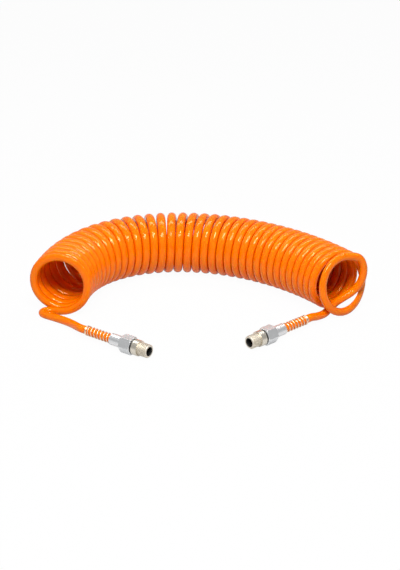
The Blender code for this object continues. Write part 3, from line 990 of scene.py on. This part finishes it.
def pale_floor(width, shine):
    mesh = bpy.data.meshes.new("floor")
    half = width / 2
    corners = [(-half, -half, 0), (half, -half, 0), (half, half, 0), (-half, half, 0)]
    mesh.from_pydata(corners, [], [(0, 1, 2, 3)])
    floor = bpy.data.objects.new("floor", mesh)
    bpy.context.scene.collection.objects.link(floor)
    made = bpy.data.materials.new("pale_floor")
    made.use_nodes = True
    tree = made.node_tree
    tree.nodes.remove(tree.nodes["Principled BSDF"])
    matte = add_node(tree, "ShaderNodeBsdfDiffuse")
    matte.inputs["Color"].default_value = (FLOOR_GREY, FLOOR_GREY, FLOOR_GREY, 1)
    glow = add_node(tree, "ShaderNodeEmission")
    glow.inputs["Color"].default_value = (1, 1, 1, 1)
    mixed = add_node(tree, "ShaderNodeMixShader")
    feed(tree, mixed.inputs[0], calc(tree, "MULTIPLY", seen_directly(tree), shine))
    tree.links.new(matte.outputs[0], mixed.inputs[1])
    tree.links.new(glow.outputs[0], mixed.inputs[2])
    tree.links.new(mixed.outputs[0], tree.nodes["Material Output"].inputs["Surface"])
    mesh.materials.append(made)
    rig.stage(floor)


def softbox(name, azimuth, elevation, distance, width, height, power):
    """A soft lamp that looks at the hose. Azimuth 0 is the camera's side, positive to the right."""
    lamp = bpy.data.lights.new(name, "AREA")
    lamp.shape = "RECTANGLE"
    lamp.size = width
    lamp.size_y = height
    lamp.energy = power
    made = bpy.data.objects.new(name, lamp)
    bpy.context.scene.collection.objects.link(made)
    a, e = math.radians(azimuth), math.radians(elevation)
    way = Vector((math.sin(a) * math.cos(e), -math.cos(a) * math.cos(e), math.sin(e)))
    made.location = Vector(CAMERA_LOOKS_AT) + way * distance
    made.rotation_mode = "QUATERNION"
    made.rotation_quaternion = way.to_track_quat("Z", "Y")


def photo_camera():
    lens = bpy.data.cameras.new("camera")
    lens.lens = CAMERA_LENS
    lens.sensor_width = SENSOR_WIDTH
    camera = bpy.data.objects.new("camera", lens)
    bpy.context.scene.collection.objects.link(camera)
    tilt = math.radians(CAMERA_ELEVATION)
    back = Vector((0, -math.cos(tilt), math.sin(tilt)))
    camera.location = Vector(CAMERA_LOOKS_AT) + back * CAMERA_DISTANCE
    camera.rotation_mode = "QUATERNION"
    camera.rotation_quaternion = back.to_track_quat("Z", "Y")
    bpy.context.scene.camera = camera


def set_material(node, surface):
    slots = frame["nodes"][node].material_slots
    for slot in slots:
        slot.material = surface


def main():
    orange = glossy_polyurethane()
    wire = turned_metal("bright_spring_wire", WIRE_COLOURS_WITH_PAINTED_REFLECTION, 0.30, 0.40)
    satin = turned_metal("satin_plate", SATIN_COLOURS, 0.36, 0.48)
    nickel = turned_metal("bright_nickel", NICKEL_COLOURS, 0.30, 0.40)
    cut = turned_metal("cut_thread_nickel", THREAD_COLOURS, 0.55, 0.65)
    steel = turned_metal("ring_steel_grey", STEEL_COLOURS, 0.25, 0.35)
    # Black painted shade for the deep bore and the stem inside it
    dark = dull_black("painted_shade_bore", 0.5)
    plastic = dull_black("washer_plastic", 0.4)
    rubber = dull_black("seal_rubber", 0.6)

    places = fitting_places()
    winding = Winding()
    left_hexagon = places["left"].translation
    solid_end = winding.at(0, SOLID_COIL_R)[0]
    winding.shift = Vector((left_hexagon.x - FITTING_LEFT_OFFSET[0] - solid_end.x,
                            left_hexagon.y - FITTING_LEFT_OFFSET[1] - solid_end.y, 0))

    hose = hose_tree()
    springs = spring_tree()
    threads = thread_tree()
    turns, wound = coil_points(winding)
    coil = hose_piece("wound_hose", hose, wound, orange)
    press_together(coil, winding, turns)
    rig.replaces(coil, "hose_coil")
    stretch_with_length(coil, winding, turns)
    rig.cord(coil, exit=wound[0], length=length_of(wound), diameter=HOSE_OD, far_end="object",
            stiffness="stiff", lay="coiled", path=wound)

    routes = {
        "left": left_tail_points(winding, places["left"]),
        "right": right_tail_points(winding, places["right"]),
    }
    bodies = {"left": "coil", "right": "right_end"}
    for side in SIDES:
        place = places[side]
        body = bodies[side]
        tail = hose_piece(f"straight_hose_{side}", hose, routes[side], orange)
        spring = spring_guard(side, springs, place, wire)
        nut = clamp_nut(side, place, satin)
        ring = washer(side, place, plastic)
        nipple = swivel_nipple(side, threads, place, nickel, dark, cut)
        for piece, node in ((tail, "hose_tail"), (spring, "spring_guard"), (nut, "clamp_nut"),
                            (ring, "thrust_washer"), (nipple, "swivel_nipple")):
            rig.replaces(piece, f"{node}_{side}")
            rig.ride(piece, f"{side}_nipple" if piece is nipple else body)
        # The stem deep inside the bore takes the black painted shade too
        set_material(f"swivel_stem_{side}", dark)
        set_material(f"snap_ring_{side}", steel)
        set_material(f"o_ring_{side}", rubber)
        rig.cord(tail, exit=routes[side][0], length=length_of(routes[side]), diameter=HOSE_OD,
                far_end="fitting", stiffness="stiff", lay="loose", path=routes[side],
                with_pieces=[spring, nut, ring, nipple])

    white_room(ROOM_LIGHT)
    pale_floor(FLOOR_WIDTH, FLOOR_SHINE)
    softbox("main_front", 0, 58, 1.25, 0.6, 0.42, 12.0)
    softbox("key_left", -26, 52, 1.2, 0.18, 0.18, 2.8)
    softbox("key_right", 26, 62, 1.2, 0.18, 0.18, 3.2)
    softbox("top_back", 182, 68, 1.1, 1.2, 0.22, 6.5)
    photo_camera()
    bpy.context.scene.view_settings.view_transform = "Standard"

    visual_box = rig.bounds()
    with open(SIZE_FILE, "w") as file:
        json.dump({"cad": [list(c) for c in CAD_BOX], "visual": [list(c) for c in visual_box]}, file)


main()
